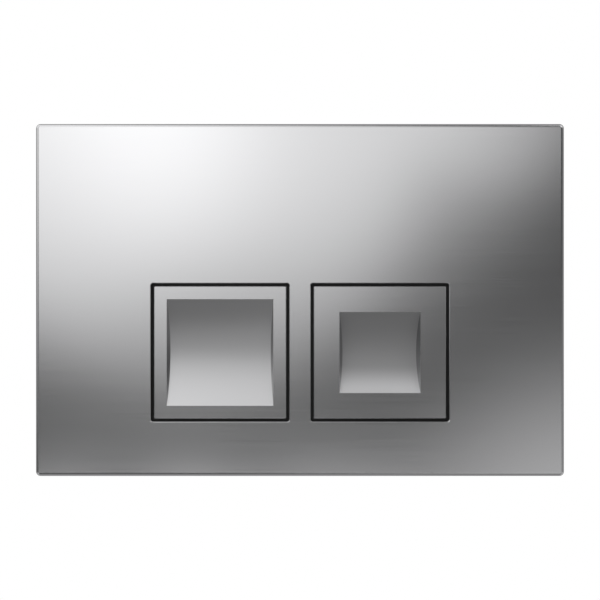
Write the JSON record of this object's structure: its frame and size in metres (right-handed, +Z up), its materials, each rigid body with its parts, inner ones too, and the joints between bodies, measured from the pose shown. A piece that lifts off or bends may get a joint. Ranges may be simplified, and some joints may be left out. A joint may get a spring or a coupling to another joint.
{
  "type": "flush button plate",
  "caption": "Rectangular satin chrome wall plate for a concealed cistern, with square hinged push buttons that have scooped finger recesses, on a mounting frame.",
  "frame": {"origin": "centre of the cover's outline on the wall's surface", "axes": "+X to the right as seen from the room, +Y into the wall, +Z up"},
  "size_m": [0.246, 0.082, 0.164],
  "materials": {
    "satin_chrome": "satin plating on moulded plastic",
    "frame_plastic": "light grey moulded plastic",
    "rod_plastic": "natural white moulded plastic",
    "bush_plastic": "dark grey moulded plastic",
    "bolt_plastic": "grey moulded plastic",
    "steel": "drawn stainless steel",
    "spring_steel": "spring steel",
    "rubber": "black rubber"
  },
  "bodies": {
    "cover_and_frame": {"front_plate": "satin_chrome", "mounting_frame": "frame_plastic", "full_flush_axle": "steel", "full_flush_return_spring": "spring_steel", "full_flush_guide_bush": "bush_plastic", "half_flush_axle": "steel", "half_flush_return_spring": "spring_steel", "half_flush_guide_bush": "bush_plastic", "left_distance_bolt": "bolt_plastic", "left_lock_nut": "bolt_plastic", "right_distance_bolt": "bolt_plastic", "right_lock_nut": "bolt_plastic"},
    "full_button": {"full_flush_button": "satin_chrome", "full_flush_stop_buffers": "rubber"},
    "half_button": {"half_flush_button": "satin_chrome", "half_flush_stop_buffers": "rubber"},
    "full_rod": {"full_flush_push_rod": "rod_plastic", "full_flush_rod_cap": "rod_plastic"},
    "half_rod": {"half_flush_push_rod": "rod_plastic", "half_flush_rod_cap": "rod_plastic"}
  },
  "joints": [
    {"name": "full_button_hinge", "type": "hinge", "parent": "cover_and_frame", "child": "full_button", "pos_m": [-0.0372, -0.005, 0.0124], "axis": [1, 0, 0], "range_deg": [0, 7], "stiffness_Nm_per_rad": 0.3, "springref_deg": -17.19, "deforming": ["full_flush_return_spring"]},
    {"name": "half_button_hinge", "type": "hinge", "parent": "cover_and_frame", "child": "half_button", "pos_m": [0.0372, -0.005, 0.0124], "axis": [1, 0, 0], "range_deg": [0, 7], "stiffness_Nm_per_rad": 0.3, "springref_deg": -17.19, "deforming": ["half_flush_return_spring"]},
    {"name": "full_rod_slide", "type": "slide", "parent": "cover_and_frame", "child": "full_rod", "axis": [0, 1, 0], "range_m": [0, 0.00611]},
    {"name": "half_rod_slide", "type": "slide", "parent": "cover_and_frame", "child": "half_rod", "axis": [0, 1, 0], "range_m": [0, 0.00611]}
  ],
  "couplings": [
    {"joint": "full_rod_slide", "follows": "full_button_hinge", "m_per_rad": 0.049939},
    {"joint": "half_rod_slide", "follows": "half_button_hinge", "m_per_rad": 0.049939}
  ]
}
